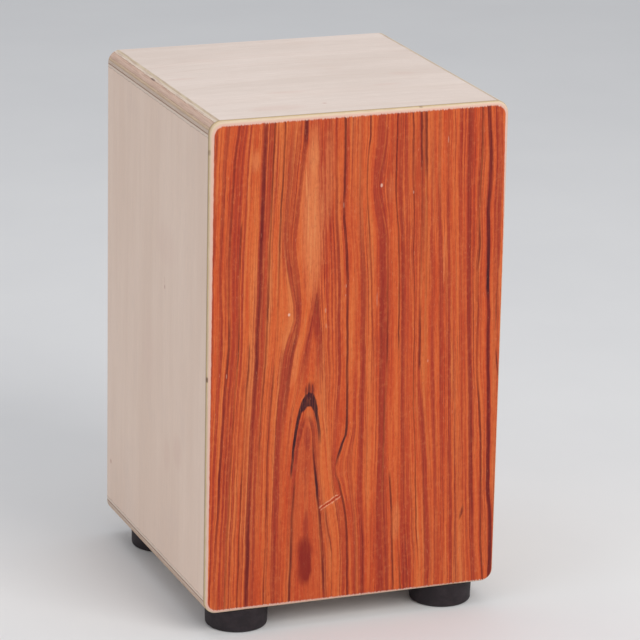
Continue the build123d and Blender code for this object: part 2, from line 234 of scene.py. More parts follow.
# Marks on those lines: line, kind, half width, [(z, strength)].
MARKS = [
 ("g1", "band", 1.7, [(500, .75), (440, .7), (300, .5), (200, .75), (60, .5), (20, .4)]),
 ("g1", "line", 1.0, [(500, .35), (420, .5), (345, .2), (315, .15), (300, .8), (270, .85), (240, .5), (200, .7), (160, .8), (110, .5), (75, .1), (20, 0)]),
 ("g2", "band", 2.9, [(500, .5), (470, .9), (380, 1), (250, .9), (150, .9), (20, .9)]),
 ("g2", "line", 1.6, [(500, .5), (460, .55), (430, .8), (410, .75), (380, .65), (340, .5), (270, .75), (240, .55), (200, .2), (140, .35), (110, .6), (85, .9), (50, 1), (20, .5)]),
 ("g3", "line", 1.0, [(500, .8), (470, .7), (430, .8), (380, .65), (350, .55), (330, .45), (300, .15), (270, .1), (250, .6), (210, .55), (180, .65), (150, .5), (115, .8), (100, .35), (60, .3), (35, .6), (20, .4)]),
 ("g4", "band", 2.4, [(500, .3), (460, .7), (380, .65), (350, .8), (325, .7), (300, .55), (285, .9), (240, .95), (180, .8), (100, .8), (20, .7)]),
 ("g5", "band", 2.2, [(500, .9), (470, .75), (440, .6), (400, .75), (350, .7), (310, .95), (290, .8), (270, .9), (240, .8), (215, .75), (190, .35), (100, .3), (20, .6)]),
 ("g5", "line", 1.7, [(500, .7), (478, .6), (468, .05), (300, 0), (285, .35), (265, .45), (225, .25), (200, 0), (20, 0)]),
 ("g13", "band", 1.9, [(500, .3), (450, .35), (380, .75), (340, .85), (280, .85), (235, .75), (190, .55), (150, .5), (130, .1), (100, .4), (20, .6)]),
 ("g13", "line", 0.8, [(500, .3), (420, .3), (380, .35), (340, .2), (285, .35), (240, .25), (200, .05), (20, 0)]),
 ("g14", "line", 1.15, [(500, 1), (430, .95), (412, .35), (400, .9), (350, 1), (332, .55), (310, .8), (250, .95), (200, 1), (178, 1), (168, .75), (154, .25), (146, .6), (130, .9), (100, 1), (60, .85), (20, .9)]),
 ("g14", "black", 1.6, [(500, .1), (350, .15), (250, .2), (232, .25), (210, .35), (195, .6), (176, .8), (166, .4), (156, 0), (20, 0)]),
 ("g15", "band", 2.8, [(500, .35), (400, .45), (340, .8), (280, .8), (180, .85), (120, .7), (60, .85), (20, .8)]),
 ("g15", "line", 0.9, [(500, 0), (380, .2), (340, .2), (250, .15), (110, .1), (88, .55), (55, .55), (20, .3)]),
 ("g16", "line", 0.8, [(500, .95), (472, .9), (464, .3), (440, .5), (400, .55), (350, .5), (300, .45), (262, .3), (250, 0), (115, 0), (100, .3), (60, .15), (20, .2)]),
 ("g19", "line", 0.9, [(500, .75), (430, .8), (400, .6), (360, .8), (300, .8), (278, .85), (268, .35), (230, .1), (80, .1), (50, .5), (20, .85)]),
 ("g18b", "line", 1.0, [(500, 0), (150, 0), (141, .7), (128, .95), (112, .9), (100, .5), (80, .75), (50, .8), (20, .5)]),
 ("g20", "line", 0.75, [(500, .75), (440, .75), (400, .65), (340, .6), (250, .55), (180, .5), (100, .7), (85, .7), (60, .3), (48, 0), (20, 0)]),
 ("g21", "line", 1.1, [(500, .8), (450, .85), (438, .25), (410, .45), (350, .3), (318, .1), (305, .5), (285, .85), (252, .9), (244, 0), (20, 0)]),
 ("g21", "band", 3.0, [(500, .5), (440, .5), (300, .1), (240, .2), (190, .7), (120, .8), (60, .85), (20, .8)]),
 ("g22", "band", 1.8, [(500, .55), (420, .6), (350, .9), (270, .85), (200, .8), (100, .35), (20, .5)]),
 ("g23", "band", 2.6, [(500, .9), (440, .9), (350, .9), (250, .95), (100, .9), (20, .85)]),
 ("g23", "line", 1.6, [(500, .35), (450, .3), (350, .25), (230, .25), (110, .45), (85, .2), (20, .15)]),
 ("g24", "line", 1.0, [(500, .75), (420, .7), (385, .6), (370, .95), (355, .85), (330, .4), (260, .4), (225, .6), (195, .95), (150, .85), (100, .8), (60, .8), (20, .6)]),
 ("g25", "band", 2.2, [(500, .5), (440, .8), (300, .9), (200, .95), (60, .95), (20, .9)]),
 ("g25", "line", 1.7, [(500, .95), (450, .85), (425, .7), (405, 1), (370, 1), (335, 1), (318, .95), (308, .6), (260, .9), (200, .8), (140, .95), (80, 1), (20, .8)]),
 ("g25", "black", 1.6, [(500, 0), (415, .05), (400, .25), (370, .3), (350, .6), (322, .9), (314, .4), (304, 0), (90, .05), (60, .2), (20, .05)]),
 ("g18", "line", 0.8, [(500, 0), (465, .15), (445, .2), (432, .15), (420, .15), (395, .2), (310, .75), (262, .9), (240, .4), (215, .6), (160, .5), (100, .15), (20, .1)]),
]
# Lines between the main ones, placed by the grain coordinate: value, kind, half width, [(z, strength)].
BETWEEN = [
 (-100.5, "band", 2.4, [(500, .4), (380, .7), (150, .6), (20, .3)]),
 (-94.5, "band", 1.1, [(500, .7), (400, .8), (300, .5), (180, .8), (20, .5)]),
 (-84.8, "band", 1.4, [(500, .8), (430, .7), (360, .95), (280, .6), (160, .7), (20, .6)]),
 (-80.6, "band", 1.6, [(500, .85), (430, .9), (330, .9), (250, .6), (130, .7), (20, .75)]),
 (-78.5, "line", 0.9, [(500, 0), (408, 0), (395, .7), (360, .65), (345, .2), (310, .5), (285, .85), (240, .5), (180, .55), (100, .45), (20, .4)]),
 (-75, "band", 1.2, [(500, .6), (440, .5), (300, .6), (100, .5), (20, .3)]),
 (-66.3, "line", 0.9, [(500, 0), (292, 0), (280, .7), (258, .85), (235, .6), (205, .3), (170, .3), (150, .6), (120, .75), (60, .65), (20, .6)]),
 (-52.5, "band", 2.2, [(500, .8), (400, .7), (300, .8), (200, .6), (110, .6), (20, .5)]),
 (-49.3, "line", 1.0, [(500, .75), (430, .7), (390, .65), (345, .75), (318, .95), (300, .5), (250, .5), (190, .5), (160, .2), (20, 0)]),
 (-36.5, "band", 1.8, [(500, .35), (440, .45), (380, .5), (330, 0), (200, 0), (20, .1)]),
 (-29.6, "band", 1.5, [(500, .3), (430, .55), (360, .65), (310, .5), (270, .5), (100, .3), (20, .3)]),
 (24.4, "band", 0.6, [(500, .2), (440, .3), (300, .5), (150, .2), (20, .3)]),
 (28, "band", 1.1, [(500, .5), (460, .5), (400, .55), (350, .8), (260, .6), (140, .2), (95, .5), (20, .75)]),
 (31.0, "band", 0.5, [(500, .2), (430, .25), (330, .8), (220, .4), (20, .4)]),
 (33.5, "band", 0.8, [(500, .25), (430, .3), (340, .6), (240, .5), (110, .35), (80, .6), (20, .5)]),
 (49, "band", 1.6, [(500, .6), (400, .3), (300, .3), (100, .55), (20, .6)]),
 (75, "band", 3.3, [(500, .9), (440, 1), (400, .95), (300, .8), (200, .9), (20, .8)]),
 (79.8, "band", 0.9, [(500, .3), (462, .5), (445, .9), (420, .9), (400, .7), (375, .4), (350, 0), (20, 0)]),
 (82.0, "band", 0.75, [(500, 0), (462, .3), (445, .7), (420, .8), (400, .5), (380, .2), (365, 0), (20, 0)]),
 (84.2, "band", 0.65, [(500, 0), (455, .2), (440, .55), (420, .6), (405, .4), (385, 0), (20, 0)]),
 (81.5, "band", 1.8, [(500, 0), (400, .1), (340, .5), (200, .6), (60, .7), (20, .7)]),
 (99.5, "band", 2.6, [(500, .65), (420, .7), (300, .85), (200, .75), (120, .6), (20, .8)]),
 (104.5, "band", 1.5, [(500, .75), (380, .75), (250, .5), (100, .75), (20, .8)]),
 (127.3, "line", 1.4, [(500, .6), (478, .95), (440, .85), (428, .35), (405, .3), (340, .2), (200, .15), (20, 0)]),
 (133, "band", 2.0, [(500, .1), (420, .25), (350, .45), (260, .4), (120, .4), (20, .35)]),
 (148.5, "band", 1.8, [(500, .5), (430, .5), (405, .9), (350, .85), (280, .95), (180, .9), (60, .85), (20, .8)]),
 (154, "band", 1.4, [(500, 0), (400, .1), (320, .4), (200, .3), (60, .55), (20, .3)]),
 (161, "band", 2.2, [(500, .75), (430, .6), (300, .55), (180, .35), (20, .3)]),
 (165, "band", 1.2, [(500, .8), (400, .55), (260, .45), (20, .3)]),
 (193.5, "band", 2.0, [(500, .6), (400, .7), (250, .3), (20, .2)]),
]
# Short marks off the lines: x, z, half width, half height, lean, kind, strength.
SPOTS = [
 (-48.2, 76, 8.8, 17, 0.0, "deep", 1.0), (-48.0, 57, 8.2, 18, 0.0, "deep", 1.0), (-47.6, 100, 3.2, 20, 0.0, "band", 0.9), (-45, 58, 4.2, 15, 0.05, "deep", 0.5),
 (-50.4, 221.5, 3.4, 8.0, 0.38, "black", 1.0), (-41.2, 220.5, 3.2, 8.0, -0.36, "black", 1.0), (-46.0, 226.5, 6.2, 6.5, 0.0, "black", 1.0), (-46, 223.5, 7.4, 4.5, 0.0, "black", 0.8), (-45.5, 236, 6.0, 10, 0.0, "deep", 0.7), (-46.6, 236, 1.3, 7, 0.0, "black", 0.6), (-49.6, 234, 1.0, 6, 0.0, "black", 0.6), (-43.0, 235, 1.0, 7, 0.0, "black", 0.65),
 (-47.6, 189, 3.6, 15, 0.0, "band", 0.75), (-47.3, 165, 6.0, 26, 0.0, "band", 0.30), (-40.6, 318, 1.6, 12, 0.0, "line", 0.6), (-41, 298, 3.4, 16, 0.0, "deep", 0.35),
 (-46, 207, 4.6, 11, 0.0, "gold", 0.30), (-41, 300, 2.9, 20, 0.0, "band", 0.75), (-48.4, 150, 1.2, 26, 0.0, "band", 0.4),
 (112, 97, 1.7, 7.5, 0.2, "line", 0.75), (141.3, 300, 1.0, 26, 0.0, "line", 0.6), (144.2, 243, 1.1, 18, -0.14, "line", 0.8),
 (56.5, 48, 1.6, 24, -0.1, "band", 0.9), (-53.8, 486, 2.2, 14, 0.0, "line", 0.45),
 (-46.0, 398, 13.5, 84, -0.02, "gold", 0.95), (-45.5, 470, 7, 30, 0.0, "gold", 0.6), (-31.5, 440, 7, 60, 0.02, "gold", 0.60), (-44.2, 398, 1.0, 34, 0.0, "gold", 0.9), (-50.5, 404, 0.9, 28, 0.0, "gold", 0.9), (-47.6, 372, 0.7, 24, 0.0, "gold", 0.8), (-53.0, 436, 0.8, 22, -0.05, "gold", 0.7), (-103, 461, 5.5, 12, 0.0, "gold", 0.7), (44.5, 95, 4.5, 22, 0.0, "gold", 0.6),
 (-61, 262, 4, 26, 0.16, "gold", 0.45), (30, 425, 5, 16, 0.0, "gold", 0.35), (86.5, 350, 1.4, 32, 0.0, "gold", 0.7),
 (-67.9, 311, 1.5, 1.9, 0.0, "pale", 1.0), (21.3, 428, 1.3, 2.3, 0.0, "pale", 1.0), (-11.6, 334, 0.5, 2.2, 0.0, "pale", 0.45),
 (-11.9, 325, 0.5, 1.6, 0.0, "pale", 0.4), (-15.4, 412, 0.6, 3.6, 0.0, "pale", 0.4), (-128.6, 257, 0.6, 3.0, 0.0, "pale", 0.45),
 (-31.8, 312, 1.0, 3.0, 0.0, "pale", 0.35), (-31, 297, 0.8, 3.0, 0.0, "pale", 0.3),
 (86.8, 467, 0.7, 4.0, 0.0, "pale", 0.4), (72.5, 253, 0.8, 1.8, 0.0, "pale", 0.35),
 (53.5, 419, 0.9, 2.0, 0.0, "pale", 0.4), (19.5, 318, 0.8, 9.0, 0.0, "pale", 0.2), (68, 77, 1.0, 5.0, 0.0, "gold", 0.8),
]


def veneer_material():
    """Lines are found by curves in centimetres, x over z, so each is one node."""
    def group(name, ins, outs):
        h = Graph(name, group=True)
        for q in ins:
            h.t.interface.new_socket(name=q, in_out="INPUT", socket_type="NodeSocketFloat")
        for q in outs:
            h.t.interface.new_socket(name=q, in_out="OUTPUT", socket_type="NodeSocketFloat")
        gi = h.t.nodes.new("NodeGroupInput")
        h.ins = [V(h, gi.outputs[i]) for i in range(len(ins))]
        h.go = h.t.nodes.new("NodeGroupOutput")
        return h

    def call(g, h, args):
        n = g.t.nodes.new("ShaderNodeGroup")
        n.node_tree = h.t
        for i, q in enumerate(args):
            g.put(n.inputs[i], q)
        return [V(g, n.outputs[i]) for i in range(len(n.outputs))]

    def cm(pts):
        return [(a * 0.1, b * 0.1) for a, b in pts]

    def strengths(h, z, pts):
        return h.curve(z, [(a * 0.1, b) for a, b in pts])

    EPS = {"a1": 0.006, "a2": 0.004, "a3": 0.002}

    def where(h, z, name):
        """The x of a named line, in centimetres."""
        if name in G_LINES:
            return h.curve(z, cm(G_LINES[name]))
        left, right = ARCH[name[:2]]
        mid = h.curve(z, cm(G_LINES["mid"]))
        if name.endswith("L"):
            return mid - h.curve(z, cm([(p, max(q, EPS[name[:2]] * 10)) for p, q in left]))
        return mid + h.curve(z, cm([(p, max(q, EPS[name[:2]] * 10)) for p, q in right]))

    # group 1: the grain coordinate, a sum of ramps from each line to the next
    h = group("grain", ["X", "Z"], ["U"])
    x, z = h.ins
    u = None
    low = where(h, z, ORDER[0][0])
    for (na, ua), (nb, ub) in zip(ORDER, ORDER[1:]):
        high = where(h, z, nb)
        f = ((x - low) / (high - low)).min(1.0).max(0.0)
        u = h.m3("MULTIPLY_ADD", f, ub - ua, ORDER[0][1] if u is None else u)
        low = high
    h.put(h.go.inputs[0], u)
    grain = h

    # groups 2 on: marks on the lines, a few lines to a group
    def mark(h, total, dist, kind, half, strength, fray):
        s = strengths(h, h.z_, strength)
        d = dist.abs()
        if kind == "band":
            m = h.ramp(d + fray, half * 0.065, half * 0.110, s, 0.0)
        elif kind == "black":
            m = h.ramp(d + fray * 0.4, half * 0.060, half * 0.110, s, 0.0)
        else:
            m = h.ramp(d + fray * 0.5, half * 0.045, half * 0.140, s, 0.0)
        total[kind] = m if kind not in total else total[kind] + m

    def closing(h, total):
        for i, k in enumerate(("line", "band", "black")):
            h.put(h.go.inputs[i], total.get(k, 0.0))

    mark_groups = []
    for part in range(0, len(MARKS), 10):
        h = group("marks%d" % part, ["X", "Z", "Fray"], ["Line", "Band", "Black"])
        x, h.z_, fray = h.ins
        total, names = {}, []
        last, p = None, None
        for name, kind, half, strength in MARKS[part:part + 10]:
            if name != last:
                p, last = where(h, h.z_, name), name
            mark(h, total, x - p, kind, half, strength, fray)
        closing(h, total)
        mark_groups.append((h, "x", "black" in total))
    for part in range(0, len(BETWEEN), 8):
        h = group("between%d" % part, ["U", "Z", "Fray"], ["Line", "Band", "Black"])
        u_, h.z_, fray = h.ins
        total = {}
        for value, kind, half, strength in BETWEEN[part:part + 8]:
            mark(h, total, (u_ - value) * 0.1, kind, half, strength, fray)
        closing(h, total)
        mark_groups.append((h, "u", "black" in total))

    # the arches: both legs at once by the mirrored coordinate, and the blackish one by distance
    h = group("arches", ["X", "Z", "U", "Phi"], ["Line", "Band", "Black"])
    x, h.z_, u_, phi_ = h.ins
    total = {}
    for value, kind, half, pts in (
            (20.6, "band", 1.5, [(502, 0), (336, 0), (328, .9), (300, .9), (265, .75), (245, .35), (225, .1), (20, 0)]),
            (21.2, "line", 0.45, [(502, 0), (334, 0), (318, .5), (285, .4), (255, .15), (235, 0), (20, 0)]),
            (14.5, "band", 2.2, [(502, 0), (214, 0), (206, .9), (160, .7), (110, .5), (20, .5)])):
        s = strengths(h, h.z_, pts)
        m = h.ramp((phi_ - value).abs(), half * 0.2, half * 1.1, s, 0.0)
        total[kind] = m if kind not in total else total[kind] + m
    thick = h.curve(h.z_, cm([(502, .2), (235, .2), (231.5, 3.4), (228, 4.0), (222, 3.8), (214, 3.5), (205, 3.1), (190, 2.8), (170, 2.5), (155, 2.2), (20, 1.2)]))
    for leg, far, pts in (("a2L", 1.0, [(502, 0), (234.5, 0), (231, .9), (222, 1), (200, 1), (183, 1), (165, .85), (154, .7), (149, 0), (20, 0)]),
                          ("a2R", -1.0, [(502, 0), (234.5, 0), (231, .9), (222, 1), (205, .95), (192, .7), (184, .3), (180, 0), (20, 0)])):
        inset = (x - where(h, h.z_, leg)) * far
        half_t = thick * 0.5
        m = h.ramp((inset - half_t).abs() / half_t, 0.65, 1.3, strengths(h, h.z_, pts), 0.0)
        total["black"] = m if "black" not in total else total["black"].max(m)
    for leg, kind, pts, half in (
            ("a3L", "line", [(502, 0), (152, 0), (140, .55), (120, .75), (100, .7), (80, .85), (66, 1), (50, .95), (35, 1), (20, .95)], 1.6),
            ("a3R", "line", [(502, 0), (186, 0), (175, .6), (163, .75), (150, .95), (130, .95), (122, .6), (110, .75), (90, .6), (60, .8), (34, .5), (26, 0), (20, 0)], 1.6),
            ("a3R", "black", [(502, 0), (162, 0), (152, .7), (138, .85), (128, .6), (120, 0), (20, 0)], 1.7),
            ("a2R", "line", [(502, 0), (118, 0), (110, .55), (95, .55), (80, .6), (60, .4), (20, .35)], 0.9)):
        m = h.ramp((x - where(h, h.z_, leg)).abs(), half * 0.02, half * 0.12, strengths(h, h.z_, pts), 0.0)
        total[kind] = m if kind not in total else total[kind] + m
    closing(h, total)
    arches = h

    # short marks
    spot_groups = []
    for part in range(0, len(SPOTS), 9):
        kinds = ["line", "band", "black", "gold", "deep", "pale"]
        h = group("spots%d" % part, ["X", "Z", "Ragged"], [k.title() for k in kinds])
        x, z, ragged = h.ins
        total = {}
        for sx, sz, hw, hh, lean, kind, s in SPOTS[part:part + 9]:
            dx = (x - (sx - sz * lean)) if lean == 0.0 else h.m3("MULTIPLY_ADD", z, -lean, x) - (sx - sz * lean)
            dx, dz = dx * (1.0 / hw), (z - sz) * (1.0 / hh)
            r2 = h.m3("MULTIPLY_ADD", dx, dx, dz * dz)
            m = h.ramp(r2, 0.15, 1.0, s, 0.0) if kind == "pale" else h.ramp(r2 + ragged, 0.45 if kind == "black" else 0.0, 1.25, s, 0.0)
            total[kind] = m if kind not in total else total[kind] + m
        for i, k in enumerate(kinds):
            h.put(h.go.inputs[i], total.get(k, 0.0))
        spot_groups.append((h, kinds))

    g = Graph("face_veneer")
    x, y, z = g.x, g.y, g.z
    # small wander, so that no line is drawn with a ruler
    wob = (g.noise(x * 0.03, z * 0.035, 3.1, 2.0) - 0.5) * 1.5 + (g.noise(x * 0.25, z * 0.11, 7.7, 2.0) - 0.5) * 0.7
    xw = x + wob
    xc, zc = xw * 0.1, z * 0.1
    u = call(g, grain, [xc, zc])[0]
    floor_phi = g.curve(zc, [(50.2, 21.5), (33.2, 21.5), (32.4, 18.6), (23.5, 18.5), (22.9, 14.1), (21.1, 14.0), (20.5, 2), (20.0, 0), (2, 0)])
    phi = u.abs().max(floor_phi)

    fray = (g.noise(u * 1.6, z * 0.035, 5.0, 3.0, 0.65) - 0.5) * 0.16
    sums = {}
    def add(k, v):
        sums[k] = v if k not in sums else sums[k] + v
    for h, what, blackened in mark_groups:
        a, b, c = call(g, h, [xc if what == "x" else u, zc, fray])
        add("line", a)
        add("band", b)
        if blackened:
            add("black", c)
    a, b, c = call(g, arches, [xc, zc, u, phi])
    add("line", a)
    add("band", b)
    add("black", c)
    ragged = (g.noise(x * 0.8, z * 0.05, 17.0, 2.0) - 0.5) * 0.9
    for h, kinds in spot_groups:
        for k, v in zip(kinds, call(g, h, [xw, z, ragged])):
            add(k, v)
    breakup = g.ramp(g.noise(u * 0.9, z * 0.022, 11.0, 3.0, 0.65), 0.30, 0.60, 0.6, 1.4)
    bristle = g.ramp(g.noise(x * 0.9, z * 0.05, 19.0, 3.0, 0.6), 0.28, 0.62, 0.76, 1.0)
    line = sums["line"] * breakup

    # base colour: slow drift, streaks and fine fibre, all along the grain
    slow = g.noise(phi * 0.055, z * 0.0016, x * 0.012, 2.0)
    streak = g.noise(phi * 0.24, z * 0.0055, x * 0.02 + 40.0, 3.0, 0.65)
    fine = g.noise(phi * 1.25, z * 0.013, x * 0.05 + 9.0, 3.0, 0.7)
    fibre = g.noise(xw * 3.2, z * 0.05, 2.0, 3.0, 0.6)
    tone = g.ramp(slow * 0.34 + streak * 0.44 + fine * 0.22, 0.36, 0.64)
    base = g.colours(tone, [(0.0, lin(184, 62, 32)), (0.25, lin(201, 79, 38)), (0.50, lin(211, 95, 46)), (0.75, lin(214, 106, 53)), (1.0, lin(218, 121, 67))])
    # thin red-brown streaks that follow no main line
    clump = g.ramp(g.noise(phi * 0.13 + 3.3, z * 0.0028, x * 0.02 + 150.3, 2.0, 0.5), 0.42, 0.58, 0.12, 1.0)
    inner = g.ramp(phi, 10.5, 14.5, 1.0, 0.0)
    thin = g.ramp(g.noise(phi * 0.95, z * 0.006, x * 0.03 + 70.3, 3.0, 0.6), 0.52, 0.60, 0.0, 0.74)
    wide = g.ramp(g.noise(phi * 0.38, z * 0.004, x * 0.025 + 90.3, 2.0, 0.5), 0.56, 0.64, 0.0, 0.46)
    hair = g.ramp(g.noise(phi * 2.1, z * 0.010, x * 0.05 + 130.3, 2.0, 0.5), 0.58, 0.67, 0.0, 0.66) * clump
    calm = g.ramp(sums["gold"], 0.0, 1.0, 1.0, 0.20) * (1.0 - inner * 0.75)
    knot = g.ramp((x + 70.0) * (x + 70.0) * (1 / 90.0) + (z - 312.0) * (z - 312.0) * (1 / 1600.0), 0.4, 1.5, 0.15, 1.0)
    band = sums["band"] * 1.0 + (thin * clump + wide) * calm * knot
    band_col = g.colours(g.noise(phi * 0.6, z * 0.004, x * 0.03 + 20.0, 3.0, 0.6), [(0.30, lin(128, 28, 26)), (0.5, lin(154, 41, 32)), (0.70, lin(176, 58, 36))])
    c = g.mix(sums["gold"].min(1.4) * 0.66, base, lin(225, 137, 84))
    c = g.mix(inner * 0.5, c, lin(184, 62, 36))
    c = g.mix(band.min(1.0) * 0.90, c, band_col)
    c = g.mix(hair * calm * knot, c, lin(132, 32, 27))
    c = g.mix(g.ramp(fibre, 0.35, 0.75, 0.0, 0.16), c, lin(226, 140, 92))
    c = g.mix(g.ramp(g.noise(xw * 1.9 + z * 0.017, z * 0.10 + xw * 0.31, 33.37, 2.0, 0.6), 0.58, 0.72, 0.0, 0.46), c, lin(122, 34, 26))
    mottle = g.noise(x * 0.30 + z * 0.05, z * 0.22 - x * 0.06, 37.41, 3.0, 0.65)
    c = g.mix(g.ramp(mottle, 0.30, 0.50, 0.16, 0.0), c, lin(150, 48, 30))
    c = g.mix(g.ramp(mottle, 0.50, 0.70, 0.0, 0.14), c, lin(232, 138, 84))
    c = g.mix(sums["deep"].min(1.0) * 0.82, c, lin(124, 24, 26))
    c = g.mix(line.min(1.0) * 0.76, c, lin(90, 20, 26))
    c = g.mix(sums["black"].min(1.0) * bristle * 0.97, c, lin(44, 22, 34))
    c = g.mix(g.ramp(g.noise(xw * 1.6 - z * 0.02, z * 0.14 + xw * 0.27, 51.53, 2.0, 0.5), 0.68, 0.78, 0.0, 0.42), c, lin(228, 152, 116))
    c = g.mix(sums["pale"] * 0.72, c, lin(236, 192, 170))

    # a slanting crease with a raised lip either side: a painted highlight on the lip and painted shade along the
    # groove; the same masks also feed the relief
    ca, sa = math.cos(math.atan2(12.5, 21.0)), math.sin(math.atan2(12.5, 21.0))
    ax_, az_ = x + 23.5, z - 122.3
    along = ax_ * ca + az_ * sa
    across = az_ * ca - ax_ * sa + (g.noise(x * 0.27, z * 0.27, 1.3) - 0.5) * 3.4
    ends = g.ramp(along.abs(), 9.5, 13.0, 1.0, 0.0)
    lip_ridge_highlight = g.ramp((across.abs() - 1.5).abs(), 0.15, 1.15, 1.0, 0.0) * ends * g.ramp(g.noise(x * 0.35, z * 0.12, 4.0), 0.30, 0.65, 0.25, 1.0)
    crease_groove_shade = g.ramp(across.abs(), 0.35, 1.15, 1.0, 0.0) * ends
    # painted highlight on the crease's raised lip, then painted shade in its groove
    c = g.mix(lip_ridge_highlight * 0.80, c, lin(234, 164, 130))
    c = g.mix(crease_groove_shade * 0.85, c, lin(172, 48, 20))

    # the sanded border: the veneer is rubbed through to its pale backing
    xl = z * (1.7 / 477.0) + (-144.7 - 23.0 * 1.7 / 477.0)
    xr = g.curve(zc, cm([(500, 143.8), (440, 144.6), (380, 145.7), (200, 146.5), (20, 146.5)])) * 10.0
    zt = x * (1.1 / 295.0) + 495.55
    zb = x * (-1.6 / 295.0) + 25.7
    cx, hx = (xl + xr) * 0.5, (xr - xl) * 0.5
    cz, hz = (zt + zb) * 0.5, (zt - zb) * 0.5
    r = 9.5
    qx = (x - cx).abs() - hx + r
    qz = (z - cz).abs() - hz + r
    px, pz = qx.max(0.0), qz.max(0.0)
    outside = g.m("SQRT", px * px + pz * pz) + qx.max(qz).min(0.0) - r
    ends_only = g.ramp(qz - qx, -2.0, 4.0)
    tear = (g.noise(x * 0.55, z * 0.12, 15.0, 3.0, 0.6) - 0.5) * 1.3 + (g.noise(x * 1.3, z * 0.07, 25.0, 4.0, 0.75) - 0.5) * (ends_only * 5.5 + 0.6)
    edge = g.ramp(outside + tear, -0.6, 0.5)
    pale = g.mix(g.noise(x * 0.2, z * 0.2, 8.0, 3.0), lin(231, 188, 174), lin(222, 184, 164))
    pale = g.mix(g.ramp(outside, 1.4, 3.2), pale, lin(222, 198, 170))
    c = g.mix(edge, c, pale)

    # satin skin with the pores showing in it; the relief doesn't use the lines, to stay light
    rough = g.ramp(fibre, 0.2, 0.8, 0.42, 0.58)
    pores = fibre * 0.6 + g.noise(x * 1.5, z * 0.03, 61.0, 3.0) * 0.5 + lip_ridge_highlight * 1.2 - crease_groove_shade * 1.5
    return g.finish(c, rough, pores, strength=0.16, distance=0.00015, spec=0.16)


